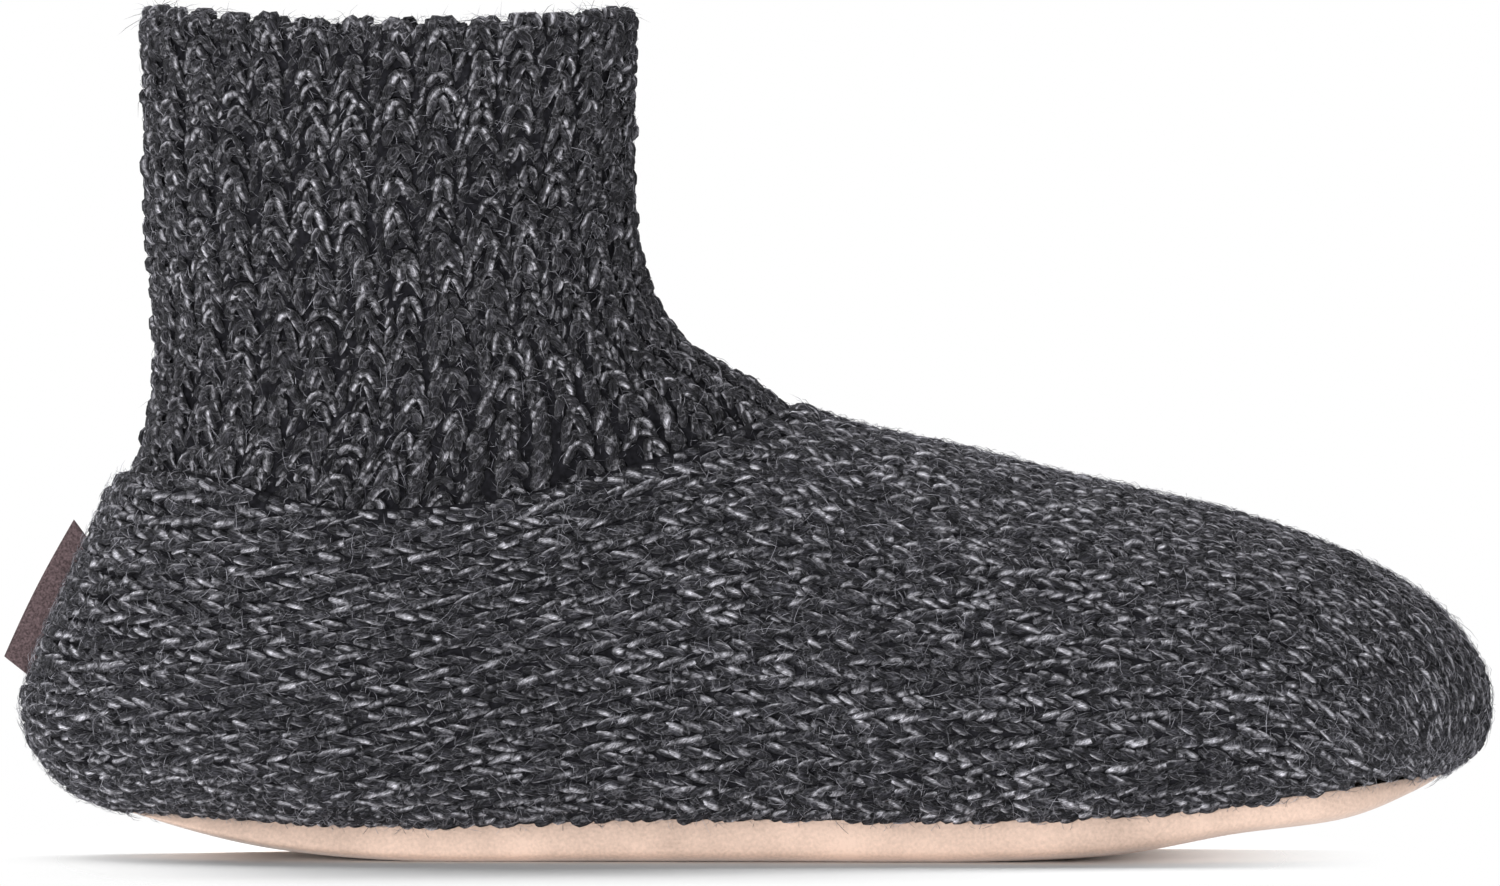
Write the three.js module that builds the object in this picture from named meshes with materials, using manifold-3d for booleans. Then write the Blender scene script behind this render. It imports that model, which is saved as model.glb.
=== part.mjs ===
// Knitted wool slipper for the right foot: a ribbed ankle shaft sewn into a knitted foot, on a suede sole.
// Millimetres, +Z up, +X towards the toe, +Y towards the inner side of the foot. The floor is z = 0.

import * as THREE from "three";
import { mergeVertices } from "three/addons/utils/BufferGeometryUtils.js";
import Module from "manifold-3d";

const wasm = await Module();
wasm.setup();

// Driving dimensions of the last
const FOOT_LENGTH = 282;
const BALL_WIDTH = 102;
const INSTEP_HEIGHT = 86;
const HEEL_X = -139.6;

// Cloth, leather and seams
const GAP = 0.3;
const UPPER_WALL = 2.3;
const SHAFT_WALL = 3.8;
const SHAFT_LAP = 0.55;
const LAP_GAP = 0.7;
const COLLAR_RISE = 2.6;
const RIB_COUNT = 33;
const RIB_DEPTH = 1.3;
const SOLE_INSET = 1.2;
const SOLE_WALL = 2.2;
const SOLE_SQUARENESS = 8;
const INSOLE_DROP = 0.6;

// Folded label in the seam at the back of the heel. Its upper end is cut on a slant, along over across.
const LABEL = { topX: -129.3, topZ: 64.4, length: 29.4, depth: 9, thickness: 1.1, leanDeg: 27, cut: 0.5 };

// Faces: points round a section, and sections along each piece
const FOOT_POINTS = 44;
const FOOT_RINGS = 32;
const SHAFT_RINGS = 10;
const RIM_STEPS = 4;
const SOLE_RINGS = 30;
const SOLE_POINTS = 16;
const FEATHER_STEPS = 36;
const CLOSING_HOLE = 0.06;

// The last, one row a section, from the collar down the ankle, round the heel and out to the toe.
// A section is a closed curve through a top point and a bottom point, at right angles to the side view.
// topX and bottomX are % of FOOT_LENGTH from the heel, topZ and bottomZ % of INSTEP_HEIGHT, half and shift
// % of half the BALL_WIDTH, and widest is how far up from the bottom point the section is widest, in %.
// A power of 2 is an ellipse, and a higher one is squarer.
const COLUMNS = ["topX", "topZ", "bottomX", "bottomZ", "half", "widest", "topPower", "bottomPower", "shift"];
const SECTIONS = {
  collar: [42.9, 184.6, 7.1, 184.6, 70.5, 50, 2.3, 2.3, 0],
  cuff: [42.8, 162.8, 7.3, 162.8, 70.5, 50, 2.3, 2.3, 0],
  ankle: [42.9, 141.9, 7.5, 137.2, 69.5, 50, 2.3, 2.3, 0],
  bend: [43.9, 127.2, 8.1, 116.3, 70.5, 49, 2.3, 2.3, 0],
  topLine: [45.7, 118.2, 7.4, 95.3, 73.5, 48, 2.3, 2.3, 0],
  counter: [48.4, 112.4, 5.6, 80.8, 76.5, 46, 2.2, 2.3, 0],
  heelCurve: [50.6, 108.6, 3.1, 62.8, 78.5, 44, 2.2, 2.3, 0],
  heelBulge: [52.3, 104, 0.5, 42.4, 79.5, 43, 2.2, 2.3, 0],
  heelBase: [54, 100.2, 0, 29.1, 80, 42, 2.2, 2.3, 0],
  seatEdge: [56.2, 97.6, 2.9, 14.6, 80.5, 42, 2.2, 2.3, 0],
  seat: [59.7, 94.8, 8.9, 7.4, 81.5, 41, 2.2, 2.6, -1],
  seatFront: [63, 92.4, 16.9, 1.2, 82.5, 40, 2.2, 3.2, -2],
  shank: [66.5, 89.9, 26.5, -1.6, 84.5, 39, 2.2, 3.7, -3],
  waist: [69.7, 87, 38.9, -1.6, 87.5, 38, 2.2, 4, -4],
  instep: [72.9, 84.7, 51.3, -1.6, 92.5, 37, 2.2, 4, -3],
  ball: [76.8, 81.7, 64.4, -1.6, 98.5, 36, 2.1, 4, -1.5],
  joint: [81.8, 77.9, 74.3, 0, 100, 36, 2.1, 3.8, 0.5],
  toes: [87.4, 71.9, 82.1, 4.4, 95, 37, 2.1, 3.4, 4],
  toe: [92.8, 64, 89.6, 7.6, 82.5, 39, 2.1, 3, 8],
  toeCap: [96.8, 54.7, 94.5, 13.4, 63, 41, 2.1, 2.7, 11],
  tip: [99.6, 41.9, 97.4, 18.6, 36.5, 43, 2, 2.3, 13],
  nose: [100, 30.2, 98.6, 21.2, 16, 46, 2, 2, 14],
  end: [99.3, 23.5, 99.3, 23.5, 0, 50, 2, 2, 14],
};
const ROWS = Object.values(SECTIONS);
const ROW = Object.fromEntries(Object.keys(SECTIONS).map((name, i) => [name, i]));
const TOE_END = ROW.end - CLOSING_HOLE;

// The seam between shaft and foot, as a row of the table: at the back, at each side and at the front. Its
// sweep is how far it stays up behind the side and runs down before it.
const SEAM = { back: 4.65, side: 6.35, front: 7.45, sweep: 0.25 };

// The feather line, where knit meets sole, seen from the side.
const FEATHER = [
  { x: -150, z: 8.6 },
  { x: -114, z: 7.6 },
  { x: -66, z: 5.6 },
  { x: -18, z: 7 },
  { x: 50, z: 7 },
  { x: 87, z: 9.4 },
  { x: 131, z: 14.9 },
  { x: 150, z: 17.6 },
];

// One column of the table at a fractional row, on a smooth curve through the rows.
function column(index, row) {
  const first = Math.min(Math.floor(row), ROWS.length - 2);
  const at = (i) => ROWS[THREE.MathUtils.clamp(i, 0, ROWS.length - 1)][index];
  const [before, here, next, after] = [first - 1, first, first + 1, first + 2].map(at);
  const t = row - first;
  const slopeHere = (next - before) / 2;
  const slopeNext = (after - here) / 2;
  const bend = 2 * (here - next) + slopeHere + slopeNext;
  return here + t * (slopeHere + t * (next - here - slopeHere - bend + t * bend));
}

// The section at a fractional row, in millimetres.
function sectionAt(row) {
  const s = Object.fromEntries(COLUMNS.map((name, i) => [name, column(i, row)]));
  const alongX = (percent) => HEEL_X + (percent / 100) * FOOT_LENGTH;
  const upZ = (percent) => (percent / 100) * INSTEP_HEIGHT;
  const acrossY = (percent) => (percent / 200) * BALL_WIDTH;
  return {
    top: new THREE.Vector3(alongX(s.topX), acrossY(s.shift), upZ(s.topZ)),
    bottom: new THREE.Vector3(alongX(s.bottomX), acrossY(s.shift), upZ(s.bottomZ)),
    half: acrossY(s.half),
    widest: s.widest / 100,
    topPower: s.topPower,
    bottomPower: s.bottomPower,
  };
}

// A point on the last. The angle is 0 at the section's top point, and a half turn at its bottom point.
function lastPoint(row, angle) {
  const s = sectionAt(row);
  const up = Math.cos(angle);
  const side = Math.sin(angle);
  const power = up > 0 ? s.topPower : s.bottomPower;
  const reach = Math.pow(Math.abs(up), 2 / power);
  const height = up > 0 ? s.widest + (1 - s.widest) * reach : s.widest * (1 - reach);
  const p = new THREE.Vector3().lerpVectors(s.bottom, s.top, height);
  p.y += Math.sign(side) * Math.pow(Math.abs(side), 2 / power) * s.half;
  return p;
}

// A point at a distance outside the last, or inside where the distance is negative.
function skin(row, angle, distance) {
  const step = 0.02;
  const along = lastPoint(row + step, angle).sub(lastPoint(row - step, angle));
  const round = lastPoint(row, angle + step).sub(lastPoint(row, angle - step));
  const outward = along.cross(round).normalize();
  return lastPoint(row, angle).addScaledVector(outward, distance);
}

// The row of the seam at an angle round the ankle.
function seamRow(angle) {
  const mean = (SEAM.front + SEAM.back + 2 * SEAM.side) / 4;
  const lean = (SEAM.front - SEAM.back) / 2;
  const sweep = SEAM.sweep * (Math.cos(angle) - Math.cos(3 * angle));
  return mean + lean * Math.cos(angle) + (mean - SEAM.side) * Math.cos(2 * angle) + sweep;
}

// Angles that share the girth of one section equally.
function evenAngles(row, count) {
  const steps = 720;
  const angles = Array.from({ length: steps + 1 }, (_, i) => (2 * Math.PI * i) / steps);
  const girth = [0];
  for (let i = 1; i <= steps; i++) {
    girth.push(girth[i - 1] + lastPoint(row, angles[i - 1]).distanceTo(lastPoint(row, angles[i])));
  }
  return Array.from({ length: count }, (_, k) => {
    const target = (girth[steps] * k) / count;
    const i = girth.findIndex((length) => length > target);
    const share = (target - girth[i - 1]) / (girth[i] - girth[i - 1]);
    return THREE.MathUtils.lerp(angles[i - 1], angles[i], share);
  });
}

const FOOT_ANGLES = evenAngles(ROW.waist, FOOT_POINTS);

// One closed ring of points round the last.
function ring(angles, rowOf, distanceOf) {
  return angles.map((angle, i) => skin(rowOf(angle), angle, distanceOf(i)));
}

// A skin through rings of equal count, with its two ends capped, or joined to each other.
function loft(rings, endsMeet = false) {
  const count = rings[0].length;
  const points = rings.flat();
  const faces = [];
  const spans = endsMeet ? rings.length : rings.length - 1;
  for (let r = 0; r < spans; r++) {
    for (let i = 0; i < count; i++) {
      const a = r * count + i;
      const b = r * count + ((i + 1) % count);
      const c = (a + count) % points.length;
      const d = (b + count) % points.length;
      faces.push(a, b, d, a, d, c);
    }
  }
  if (!endsMeet) {
    const lastStart = (rings.length - 1) * count;
    for (const [start, flip] of [[0, true], [lastStart, false]]) {
      const middle = new THREE.Vector3();
      for (let i = 0; i < count; i++) middle.addScaledVector(points[start + i], 1 / count);
      const centre = points.push(middle) - 1;
      for (let i = 0; i < count; i++) {
        const a = start + i;
        const b = start + ((i + 1) % count);
        faces.push(...(flip ? [centre, b, a] : [centre, a, b]));
      }
    }
  }
  return new THREE.BufferGeometry().setFromPoints(points).setIndex(faces);
}

// Closed meshes as solids that can be cut, and back.
function solidOf(geometry) {
  const bare = geometry.clone();
  bare.deleteAttribute("normal");
  bare.deleteAttribute("uv");
  const merged = mergeVertices(bare, 1e-4);
  const vertProperties = new Float32Array(merged.attributes.position.array);
  const triVerts = new Uint32Array(merged.index.array);
  return new wasm.Manifold(new wasm.Mesh({ numProp: 3, vertProperties, triVerts }));
}

function geometryOf(solid) {
  const { vertProperties, triVerts } = solid.getMesh();
  const geometry = new THREE.BufferGeometry();
  geometry.setAttribute("position", new THREE.BufferAttribute(vertProperties, 3));
  geometry.setIndex(new THREE.BufferAttribute(triVerts, 1));
  geometry.computeVertexNormals();
  return geometry;
}

// A flat shape drawn in the side view, x and z, made a plate of that thickness across the foot.
function sidePlate(points, thickness) {
  const shape = new THREE.Shape(points);
  const plate = new THREE.ExtrudeGeometry(shape, { depth: thickness, bevelEnabled: false });
  plate.rotateX(Math.PI / 2);
  plate.translate(0, thickness / 2, 0);
  return solidOf(plate);
}

const FEATHER_CURVE = new THREE.SplineCurve(FEATHER.map(({ x, z }) => new THREE.Vector2(x, z)));
const FEATHER_LINE = FEATHER_CURVE.getPoints(FEATHER_STEPS);

// Everything below the feather line, lowered by a drop.
function belowFeather(drop) {
  const line = FEATHER_LINE.map((p) => new THREE.Vector2(p.x, p.y - drop));
  const depth = 60;
  const under = [line.at(-1), line[0]].map((p) => new THREE.Vector2(p.x, -depth));
  return sidePlate([...line, ...under], 2 * BALL_WIDTH);
}

// How far a point lies above the feather line.
function aboveFeather(p) {
  const next = Math.max(1, FEATHER_LINE.findIndex((q) => q.x > p.x));
  const [a, b] = [FEATHER_LINE[next - 1], FEATHER_LINE[next]];
  return p.z - THREE.MathUtils.mapLinear(p.x, a.x, b.x, a.y, b.y);
}

// The place between two others where a path goes through the feather line.
function crossing(pathAt, high, low) {
  const halvings = 40;
  for (let i = 0; i < halvings; i++) {
    const middle = (high + low) / 2;
    if (aboveFeather(pathAt(middle)) > 0) high = middle;
    else low = middle;
  }
  return low;
}

// Rings of the foot at one distance from the last, from the seam with the shaft to the toe.
function footRings(distance, startRow = seamRow) {
  return Array.from({ length: FOOT_RINGS }, (_, k) => {
    const share = k / (FOOT_RINGS - 1);
    const rowOf = (angle) => THREE.MathUtils.lerp(startRow(angle), TOE_END, share);
    return ring(FOOT_ANGLES, rowOf, () => distance);
  });
}

// The knitted foot: a hollow pouch, open at the seam with the shaft and underneath, where the sole lies.
function upperGeometry() {
  const outside = footRings(0).reverse();
  const inside = footRings(-UPPER_WALL);
  return geometryOf(solidOf(loft([...outside, ...inside])).subtract(belowFeather(0)));
}

// A shallow box with round corners that the sole fills, at an inset from the last: as wide as the last at
// the feather line, as deep as its underside, and flattened where it would lie below a floor.
function underside(inset, floor) {
  const underAt = (row) => skin(row, Math.PI, -inset);
  const heelEnd = crossing(underAt, ROW.heelBase, ROW.shank);
  const toeEnd = crossing(underAt, TOE_END, ROW.joint);
  const rings = Array.from({ length: SOLE_RINGS }, (_, k) => {
    const share = (1 - Math.cos((Math.PI * k) / (SOLE_RINGS - 1))) / 2;
    const row = THREE.MathUtils.lerp(heelEnd, toeEnd, share);
    const edgeAngle = crossing((angle) => skin(row, angle, -inset), Math.PI / 2, Math.PI);
    const [inner, outer] = [edgeAngle, -edgeAngle].map((angle) => skin(row, angle, -inset));
    const middle = inner.clone().lerp(outer, 0.5);
    const across = inner.clone().sub(middle);
    const down = underAt(row).sub(middle);
    const squared = (value) => Math.sign(value) * Math.pow(Math.abs(value), 2 / SOLE_SQUARENESS);
    const curve = Array.from({ length: SOLE_POINTS + 1 }, (_, i) => {
      const turn = (Math.PI * i) / SOLE_POINTS;
      const p = middle.clone().addScaledVector(across, squared(Math.cos(turn)));
      p.addScaledVector(down, squared(Math.sin(turn)));
      return p.setZ(Math.max(p.z, floor));
    });
    return [...curve, outer.setZ(INSTEP_HEIGHT), inner.setZ(INSTEP_HEIGHT)];
  });
  return solidOf(loft(rings.reverse()));
}

// The suede sole: a shallow dish, turned up all round to meet the knit at the feather line.
function soleGeometry() {
  const outside = underside(SOLE_INSET, 0);
  const hollow = underside(SOLE_INSET + SOLE_WALL, SOLE_WALL);
  return geometryOf(outside.subtract(hollow).intersect(belowFeather(GAP)));
}

// The insole: a soft pad that lies in the dish of the sole.
function insoleGeometry() {
  const pad = underside(SOLE_INSET + SOLE_WALL + GAP, SOLE_WALL + GAP);
  return geometryOf(pad.intersect(belowFeather(INSOLE_DROP)));
}

// The shaft: knitted in ribs, doubled over at the collar, with its lower edge lapped inside the foot.
// Each rib has one crest and one groove, and the wall bends with it.
function shaftGeometry() {
  const angles = evenAngles(ROW.cuff, 2 * RIB_COUNT);
  const outermost = -UPPER_WALL - LAP_GAP;
  const grooveDepth = (i) => (i % 2) * RIB_DEPTH;
  const distanceOf = (depth) => (i) => outermost - depth - grooveDepth(i);
  const collarRise = (i) => COLLAR_RISE * Math.cos(angles[i]) ** 2;
  const collarRing = (depth, height) =>
    ring(angles, () => ROW.collar, distanceOf(depth)).map((p, i) => p.setZ(p.z + height + collarRise(i)));
  const wallRings = (depth) =>
    Array.from({ length: SHAFT_RINGS - 1 }, (_, k) => {
      const share = (k + 1) / (SHAFT_RINGS - 1);
      const rowOf = (angle) => share * (seamRow(angle) + SHAFT_LAP);
      return ring(angles, rowOf, distanceOf(depth));
    });
  const rim = Array.from({ length: RIM_STEPS + 1 }, (_, k) => {
    const turn = (Math.PI * k) / RIM_STEPS;
    const radius = SHAFT_WALL / 2;
    return collarRing(radius * (1 - Math.cos(turn)), radius * Math.sin(turn));
  });
  return loft([...wallRings(0).reverse(), ...rim, ...wallRings(SHAFT_WALL)], true);
}

// The label: a folded tape on edge in the back seam, cut to sit against the heel.
function labelGeometry() {
  const { topX, topZ, length, depth, thickness, leanDeg, cut } = LABEL;
  const lean = THREE.MathUtils.degToRad(leanDeg);
  const down = new THREE.Vector2(-Math.sin(lean), -Math.cos(lean));
  const inward = new THREE.Vector2(Math.cos(lean), -Math.sin(lean));
  const top = new THREE.Vector2(topX, topZ);
  const end = top.clone().addScaledVector(down, length);
  const outerEdge = [top, end];
  const cutTop = top.clone().addScaledVector(down, cut * depth);
  const sewnEdge = [end, cutTop].map((p) => p.clone().addScaledVector(inward, depth));
  const heel = solidOf(loft(footRings(GAP, () => ROW.bend).reverse()));
  return geometryOf(sidePlate([...outerEdge, ...sewnEdge], thickness).subtract(heel));
}

// Finishes
const wool = new THREE.MeshStandardMaterial({ color: 0x45464b, roughness: 0.95, metalness: 0 });
const ribbedWool = new THREE.MeshStandardMaterial({ color: 0x3c3d42, roughness: 0.95, metalness: 0 });
const suede = new THREE.MeshStandardMaterial({ color: 0xe0c0aa, roughness: 0.9, metalness: 0 });
const fleece = new THREE.MeshStandardMaterial({ color: 0x2b2a2c, roughness: 1, metalness: 0 });
const tape = new THREE.MeshStandardMaterial({ color: 0x5f4c4e, roughness: 0.85, metalness: 0 });

const slipper = new THREE.Group();
for (const [name, geometry, material] of [
  ["upper", upperGeometry(), wool],
  ["shaft", shaftGeometry(), ribbedWool],
  ["sole", soleGeometry(), suede],
  ["insole", insoleGeometry(), fleece],
  ["heel_label", labelGeometry(), tape],
]) {
  const mesh = new THREE.Mesh(geometry, material);
  mesh.name = name;
  slipper.add(mesh);
}

export default slipper;
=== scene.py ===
import math

import bpy
import numpy as np
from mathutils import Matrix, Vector


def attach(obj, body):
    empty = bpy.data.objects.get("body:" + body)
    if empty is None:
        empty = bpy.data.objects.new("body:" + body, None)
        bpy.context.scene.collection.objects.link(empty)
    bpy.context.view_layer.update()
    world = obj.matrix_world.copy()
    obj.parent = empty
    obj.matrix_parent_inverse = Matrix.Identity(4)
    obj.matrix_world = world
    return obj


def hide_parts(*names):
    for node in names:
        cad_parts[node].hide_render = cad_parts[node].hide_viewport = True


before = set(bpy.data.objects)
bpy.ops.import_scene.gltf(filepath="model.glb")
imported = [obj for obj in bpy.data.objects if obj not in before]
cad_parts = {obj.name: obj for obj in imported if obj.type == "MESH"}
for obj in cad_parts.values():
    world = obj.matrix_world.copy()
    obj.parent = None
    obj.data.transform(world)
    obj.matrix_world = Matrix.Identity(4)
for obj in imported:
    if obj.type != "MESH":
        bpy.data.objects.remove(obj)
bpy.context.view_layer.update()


# The knitted foot
# A pouch of bulky charcoal marl wool in plain stockinette, with its columns of stitches running heel to
# toe. Its top edge is bound off and sewn round the shaft, its lower edge is sewn to the suede sole, and
# every stitch is a pair of slanted yarn legs that come up out of one stitch and go down under the next.

MM = 0.001
FOOT_LENGTH = 282.0
BALL_WIDTH = 102.0
INSTEP_HEIGHT = 86.0
HEEL_X = -139.6
UPPER_WALL = 2.3
TOE_CLOSING = 0.06

# The last that the slipper is shaped on, one row a section, from the collar round the heel to the toe.
# The columns are top x, top z, bottom x and bottom z, half width, height of the widest place, top power,
# bottom power and shift.
LAST = {
    "collar": (42.9, 184.6, 7.1, 184.6, 70.5, 50, 2.3, 2.3, 0),
    "cuff": (42.8, 162.8, 7.3, 162.8, 70.5, 50, 2.3, 2.3, 0),
    "ankle": (42.9, 141.9, 7.5, 137.2, 69.5, 50, 2.3, 2.3, 0),
    "bend": (43.9, 127.2, 8.1, 116.3, 70.5, 49, 2.3, 2.3, 0),
    "top_line": (45.7, 118.2, 7.4, 95.3, 73.5, 48, 2.3, 2.3, 0),
    "counter": (48.4, 112.4, 5.6, 80.8, 76.5, 46, 2.2, 2.3, 0),
    "heel_curve": (50.6, 108.6, 3.1, 62.8, 78.5, 44, 2.2, 2.3, 0),
    "heel_bulge": (52.3, 104, 0.5, 42.4, 79.5, 43, 2.2, 2.3, 0),
    "heel_base": (54, 100.2, 0, 29.1, 80, 42, 2.2, 2.3, 0),
    "seat_edge": (56.2, 97.6, 2.9, 14.6, 80.5, 42, 2.2, 2.3, 0),
    "seat": (59.7, 94.8, 8.9, 7.4, 81.5, 41, 2.2, 2.6, -1),
    "seat_front": (63, 92.4, 16.9, 1.2, 82.5, 40, 2.2, 3.2, -2),
    "shank": (66.5, 89.9, 26.5, -1.6, 84.5, 39, 2.2, 3.7, -3),
    "waist": (69.7, 87, 38.9, -1.6, 87.5, 38, 2.2, 4, -4),
    "instep": (72.9, 84.7, 51.3, -1.6, 92.5, 37, 2.2, 4, -3),
    "ball": (76.8, 81.7, 64.4, -1.6, 98.5, 36, 2.1, 4, -1.5),
    "joint": (81.8, 77.9, 74.3, 0, 100, 36, 2.1, 3.8, 0.5),
    "toes": (87.4, 71.9, 82.1, 4.4, 95, 37, 2.1, 3.4, 4),
    "toe": (92.8, 64, 89.6, 7.6, 82.5, 39, 2.1, 3, 8),
    "toe_cap": (96.8, 54.7, 94.5, 13.4, 63, 41, 2.1, 2.7, 11),
    "tip": (99.6, 41.9, 97.4, 18.6, 36.5, 43, 2, 2.3, 13),
    "nose": (100, 30.2, 98.6, 21.2, 16, 46, 2, 2, 14),
    "end": (99.3, 23.5, 99.3, 23.5, 0, 50, 2, 2, 14),
}
LAST_ROWS = np.array(list(LAST.values()), float)
ROW = {name: i for i, name in enumerate(LAST)}
TOE_END = ROW["end"] - TOE_CLOSING

# The seam with the shaft, as a row of the last, and the feather line, where knit meets sole, as x and z.
SEAM_BACK, SEAM_SIDE, SEAM_FRONT, SEAM_SWEEP = 4.65, 6.35, 7.45, 0.25
FEATHER = np.array([
    (-150, 8.6), (-114, 7.6), (-66, 5.6), (-18, 7), (50, 7), (87, 9.4), (131, 14.9), (150, 17.6),
])

# Stitches on one side: columns up from the feather line to the throat, and rows from heel to toe.
WALES = 19
SIDE_WALES = 10
HEEL_WALE = 5.15
WAIST_WALE = 4.55
WAIST_COURSE = 28
NARROWEST_WALE = 4.6
NARROWING = 24
COURSES = 102
THROAT_GATHER = 0.15
THROAT_SPAN = (-70, -20)
EDGE_LIFT = 0.2
HEEL_BOW = (3, 46)

# The top edge rolls out over the seam, most at the back of the heel.
ROLL_BACK = 0.7
ROLL_SIDE = 0.4
ROLL_FADE = (2, 20)
ROLL_END = (32, 48)
ROLL_PLACE = 2.2
ROLL_WIDTH = 2.6
EDGE_TURN = 1.1
EDGE_TURN_WIDTH = 2.2


def smooth_row(table, row):
    """A table's columns at fractional rows, on a smooth curve through its rows."""
    row = np.asarray(row, float)
    first = np.clip(np.floor(row).astype(int), 0, len(table) - 2)
    before, here, after, beyond = (table[np.clip(first + k, 0, len(table) - 1)] for k in (-1, 0, 1, 2))
    t = (row - first)[..., None]
    slope_here = (after - before) / 2
    slope_after = (beyond - here) / 2
    bend = 2 * (here - after) + slope_here + slope_after
    return here + t * (slope_here + t * (after - here - slope_here - bend + t * bend))


def last_point(row, angle):
    """A point on the last, in mm. The angle is 0 at a section's top and a half turn at its bottom."""
    row, angle = np.broadcast_arrays(np.asarray(row, float), np.asarray(angle, float))
    s = np.moveaxis(smooth_row(LAST_ROWS, row), -1, 0)
    top_x, top_z, bottom_x, bottom_z, half, widest, top_power, bottom_power, shift = s
    up = np.cos(angle)
    side = np.sin(angle)
    power = np.where(up > 0, top_power, bottom_power)
    reach = np.abs(up) ** (2 / power)
    widest = widest / 100
    height = np.where(up > 0, widest + (1 - widest) * reach, widest * (1 - reach))
    x = HEEL_X + (bottom_x + (top_x - bottom_x) * height) * FOOT_LENGTH / 100
    y = (shift + np.sign(side) * np.abs(side) ** (2 / power) * half) * BALL_WIDTH / 200
    z = (bottom_z + (top_z - bottom_z) * height) * INSTEP_HEIGHT / 100
    return np.stack([x, y, z], axis=-1)


def unit(vectors):
    """Vectors made one long."""
    return vectors / np.maximum(np.linalg.norm(vectors, axis=-1, keepdims=True), 1e-9)


def skin(row, angle, distance=0.0):
    """Points at a distance outside the last, and the directions that point out of it there."""
    step = 0.02
    along = last_point(np.add(row, step), angle) - last_point(np.subtract(row, step), angle)
    around = last_point(row, np.add(angle, step)) - last_point(row, np.subtract(angle, step))
    outward = unit(np.cross(along, around))
    return last_point(row, angle) + outward * np.asarray(distance, float)[..., None], outward


def seam_row(angle):
    """The row of the seam between foot and shaft at an angle round the ankle."""
    mean = (SEAM_FRONT + SEAM_BACK + 2 * SEAM_SIDE) / 4
    lean = (SEAM_FRONT - SEAM_BACK) / 2
    sweep = SEAM_SWEEP * (np.cos(angle) - np.cos(3 * np.asarray(angle)))
    return mean + lean * np.cos(angle) + (mean - SEAM_SIDE) * np.cos(2 * np.asarray(angle)) + sweep


def feather_height(x):
    """The height of the feather line at a place along the foot."""
    line = smooth_row(FEATHER, np.linspace(0, len(FEATHER) - 1, 200))
    return np.interp(x, line[:, 0], line[:, 1])


def feather_angle(rows, lift=0.0, depth=0.0):
    """Where each section crosses the feather line at a depth in the last, or else a half turn."""
    angles = np.linspace(0.5, math.pi, 600)
    crossing = []
    for row in np.atleast_1d(rows):
        p = skin(row, angles, -depth)[0]
        above = p[:, 2] - feather_height(p[:, 0]) - lift
        below = np.nonzero(above < 0)[0]
        if len(below) == 0:
            crossing.append(math.pi)
            continue
        j = below[0]
        share = above[j - 1] / (above[j - 1] - above[j])
        crossing.append(angles[j - 1] + share * (angles[j] - angles[j - 1]))
    return np.array(crossing)


def lengths(points):
    """How far along a path each of its points lies."""
    steps = np.linalg.norm(np.diff(points, axis=-2), axis=-1)
    return np.concatenate([np.zeros(steps.shape[:-1] + (1,)), np.cumsum(steps, axis=-1)], axis=-1)


def even_steps(rows, angles, count, across=1.0):
    """A path on the last at equal steps. Its moves across the foot count by the share given."""
    step = np.diff(last_point(rows, angles), axis=0)
    step[:, 1] *= across
    length = np.concatenate([[0], np.cumsum(np.linalg.norm(step, axis=1))])
    at = np.linspace(0, length[-1], count)
    return np.interp(at, length, rows), np.interp(at, length, angles)


def ease(value, span):
    """A smooth step from 0 at a span's start to 1 at its end."""
    t = np.clip((np.asarray(value, float) - span[0]) / (span[1] - span[0]), 0, 1)
    return t * t * (3 - 2 * t)


def feather_rows(lift=0.0, depth=0.0):
    """The rows whose lowest points lie on the feather line, under the heel and under the toe."""
    rows = np.linspace(ROW["heel_base"], TOE_END, 3000)
    p = skin(rows, math.pi, -depth)[0]
    below = np.nonzero(p[:, 2] < feather_height(p[:, 0]) + lift)[0]
    return rows[below[0]], rows[below[-1]]


def side_place(x, z):
    """The row and angle of the places on one side of the last that are seen at x and z from the side."""
    fine = np.linspace(ROW["top_line"] - 0.6, TOE_END, 1600)
    low = last_point(fine, math.pi)
    slant = last_point(fine, 0.0) - low
    off = slant[:, 0] * (z[..., None] - low[:, 2]) - slant[:, 2] * (x[..., None] - low[:, 0])
    after = np.argmax((off > 0) != (off[..., :1] > 0), axis=-1)
    after = np.where(after == 0, len(fine) - 1, after)
    here = np.take_along_axis(off, after[..., None], -1)[..., 0]
    before = np.take_along_axis(off, after[..., None] - 1, -1)[..., 0]
    share = np.clip(before / (before - here), 0, 1)
    row = fine[after - 1] + share * (fine[after] - fine[after - 1])
    low = last_point(row, math.pi)
    slant = last_point(row, 0.0) - low
    height = (slant[..., 0] * (x - low[..., 0]) + slant[..., 2] * (z - low[..., 2])) / (
        slant[..., 0] ** 2 + slant[..., 2] ** 2
    )
    height = np.clip(height, 0, 1)
    s = np.moveaxis(smooth_row(LAST_ROWS, row), -1, 0)
    widest = s[5] / 100
    above = np.clip((height - widest) / (1 - widest), 0, 1) ** (s[6] / 2)
    below = np.clip(1 - height / widest, 0, 1) ** (s[7] / 2)
    return row, np.arccos(np.where(height > widest, above, -below))


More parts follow.
